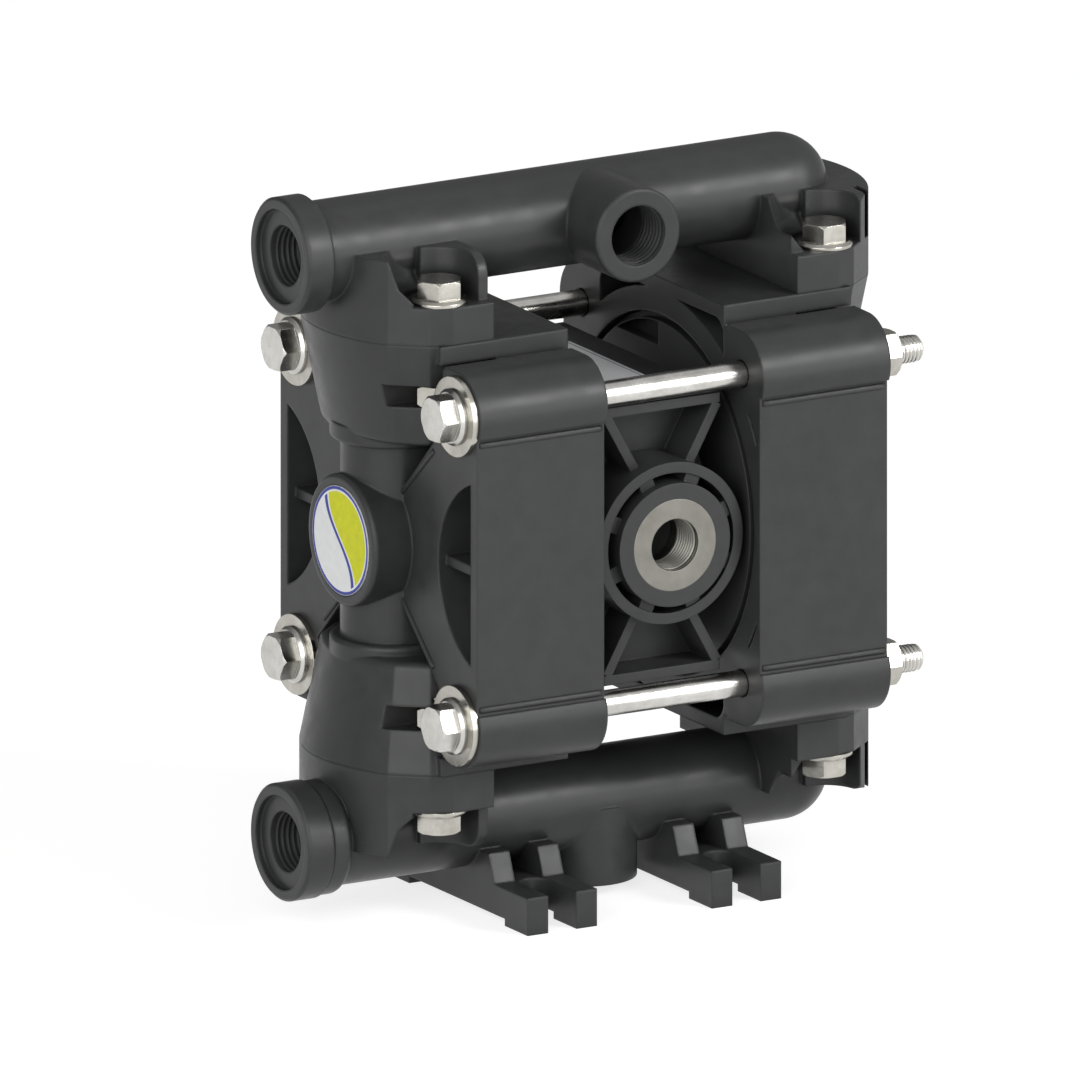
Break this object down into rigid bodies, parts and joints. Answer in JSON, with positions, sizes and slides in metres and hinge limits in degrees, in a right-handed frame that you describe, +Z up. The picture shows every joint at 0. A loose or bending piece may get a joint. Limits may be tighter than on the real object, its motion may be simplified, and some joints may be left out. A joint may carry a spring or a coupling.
{
  "type": "air operated double diaphragm pump",
  "caption": "Compact plastic air operated double diaphragm pump with bolted casings, pipe manifolds above and below, ball check valves and slotted feet.",
  "frame": {"origin": "on the floor plane under the middle of the pump, in the centre of the four hold-down slots", "axes": "+X along the diaphragm shaft away from the end ports, -Y towards the air inlet, +Z up"},
  "size_m": [0.1964, 0.1419, 0.2275],
  "materials": {
    "wetted_plastic": "satin moulded carbon-filled polypropylene",
    "centre_plastic": "satin moulded plastic",
    "muffler_plastic": "matt moulded plastic",
    "insert_steel": "turned stainless steel",
    "fastener_steel": "bright stainless steel",
    "shaft_steel": "ground stainless steel",
    "plate_white": "white printed foil, bare",
    "badge_print": null,
    "diaphragm_rubber": "moulded elastomer",
    "seal_rubber": "elastomer",
    "ball_rubber": "smooth elastomer",
    "seat_plastic": "machined plastic",
    "bearing_plastic": "machined acetal"
  },
  "bodies": {
    "pump": {"left_casing": "wetted_plastic", "right_casing": "wetted_plastic", "top_manifold": "wetted_plastic", "bottom_manifold": "wetted_plastic", "left_air_plate": "centre_plastic", "right_air_plate": "centre_plastic", "centre_body": "centre_plastic", "air_inlet_insert": "insert_steel", "exhaust_muffler": "muffler_plastic", "nameplate": "plate_white", "end_badge": "badge_print", "left_diaphragm": "diaphragm_rubber", "right_diaphragm": "diaphragm_rubber", "shaft_bushes": "bearing_plastic", "valve_sleeve": "bearing_plastic", "left_suction_seat": "seat_plastic", "left_discharge_seat": "seat_plastic", "right_suction_seat": "seat_plastic", "right_discharge_seat": "seat_plastic", "left_suction_ring": "seal_rubber", "left_discharge_ring": "seal_rubber", "right_suction_ring": "seal_rubber", "right_discharge_ring": "seal_rubber", "tie_bolts": "fastener_steel", "head_washers": "fastener_steel", "end_washers": "fastener_steel", "tie_nuts": "fastener_steel", "top_manifold_bolts": "fastener_steel", "bottom_manifold_bolts": "fastener_steel", "top_captive_nuts": "fastener_steel", "bottom_captive_nuts": "fastener_steel"},
    "diaphragm_assembly": {"diaphragm_shaft": "shaft_steel", "left_inner_plate": "shaft_steel", "right_inner_plate": "shaft_steel", "left_outer_plate": "wetted_plastic", "right_outer_plate": "wetted_plastic"},
    "air_valve_spool": {"valve_spool": "bearing_plastic"},
    "left_suction_ball_body": {"left_suction_ball": "ball_rubber"},
    "left_discharge_ball_body": {"left_discharge_ball": "ball_rubber"},
    "right_suction_ball_body": {"right_suction_ball": "ball_rubber"},
    "right_discharge_ball_body": {"right_discharge_ball": "ball_rubber"}
  },
  "joints": [
    {"name": "diaphragm_stroke", "type": "slide", "parent": "pump", "child": "diaphragm_assembly", "axis": [1, 0, 0], "range_m": [-0.004, 0.004], "stiffness_N_per_m": 500, "deforming": ["left_diaphragm", "right_diaphragm"]},
    {"name": "spool_shift", "type": "slide", "parent": "pump", "child": "air_valve_spool", "axis": [1, 0, 0], "range_m": [-0.003, 0.003]},
    {"name": "left_suction_ball_lift", "type": "slide", "parent": "pump", "child": "left_suction_ball_body", "axis": [0, 0, 1], "range_m": [0, 0.004]},
    {"name": "left_discharge_ball_lift", "type": "slide", "parent": "pump", "child": "left_discharge_ball_body", "axis": [0, 0, 1], "range_m": [0, 0.004]},
    {"name": "right_suction_ball_lift", "type": "slide", "parent": "pump", "child": "right_suction_ball_body", "axis": [0, 0, 1], "range_m": [0, 0.004]},
    {"name": "right_discharge_ball_lift", "type": "slide", "parent": "pump", "child": "right_discharge_ball_body", "axis": [0, 0, 1], "range_m": [0, 0.004]}
  ]
}
